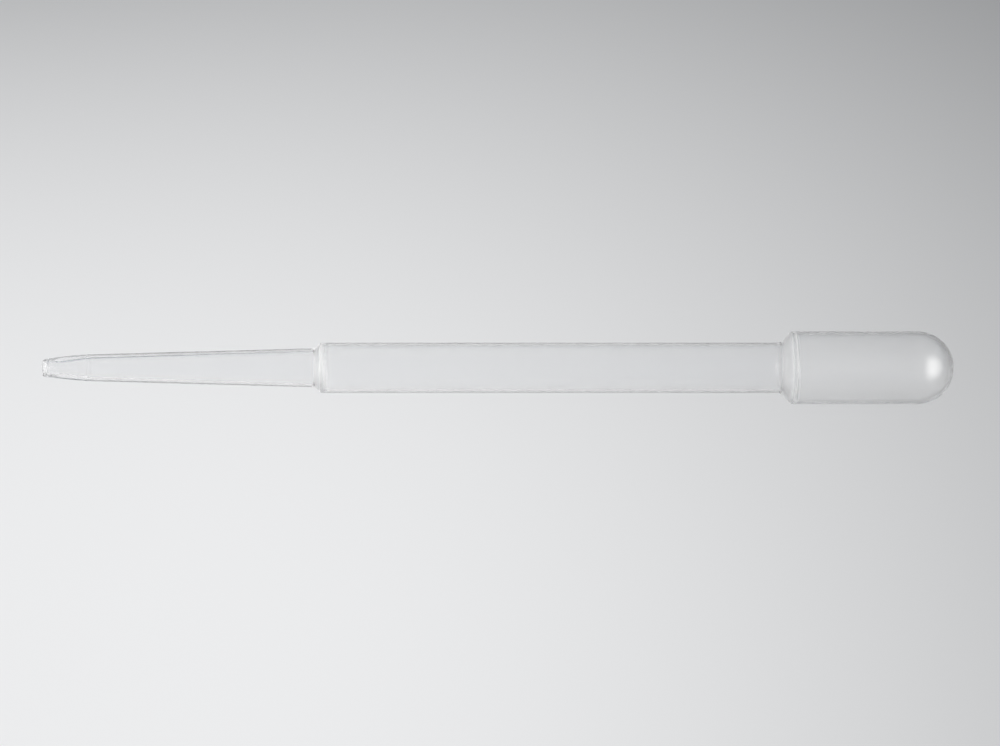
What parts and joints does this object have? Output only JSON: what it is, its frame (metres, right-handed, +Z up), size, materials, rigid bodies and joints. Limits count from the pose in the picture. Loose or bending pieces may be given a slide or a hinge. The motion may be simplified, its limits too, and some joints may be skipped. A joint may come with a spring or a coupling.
{
  "type": "transfer pipette",
  "caption": "Translucent one-piece transfer pipette with a domed squeeze bulb, straight barrel, rounded shoulder and long tapered tip",
  "frame": {"origin": "on the surface that the pipette lies on, under the middle of its length", "axes": "+X along the tube's axis from the cut tip to the bulb, +Z up, so +Y is across"},
  "size_m": [0.155, 0.0124, 0.0124],
  "materials": {
    "tube_wall": "satin",
    "bulb_wall": "satin",
    "cut_edge": "matte"
  },
  "bodies": {
    "moulding": {"cut_rim": "cut_edge", "tip_nozzle": "tube_wall", "tip_taper": "tube_wall", "front_shoulder": "tube_wall", "barrel": "tube_wall", "bulb_collar": "bulb_wall", "bulb_upper_wall": "bulb_wall", "bulb_lower_wall": "bulb_wall", "bulb_dome": "bulb_wall"},
    "thumb_side": {"thumb_wall": "bulb_wall"},
    "finger_side": {"finger_wall": "bulb_wall"}
  },
  "joints": [
    {"name": "thumb_press", "type": "slide", "parent": "moulding", "child": "thumb_side", "axis": [0, 1, 0], "range_m": [0, 0.004], "stiffness_N_per_m": 600},
    {"name": "finger_press", "type": "slide", "parent": "moulding", "child": "finger_side", "axis": [0, -1, 0], "range_m": [0, 0.004], "stiffness_N_per_m": 600}
  ],
  "couplings": [
    {"joint": "finger_press", "follows": "thumb_press", "ratio": 1}
  ]
}
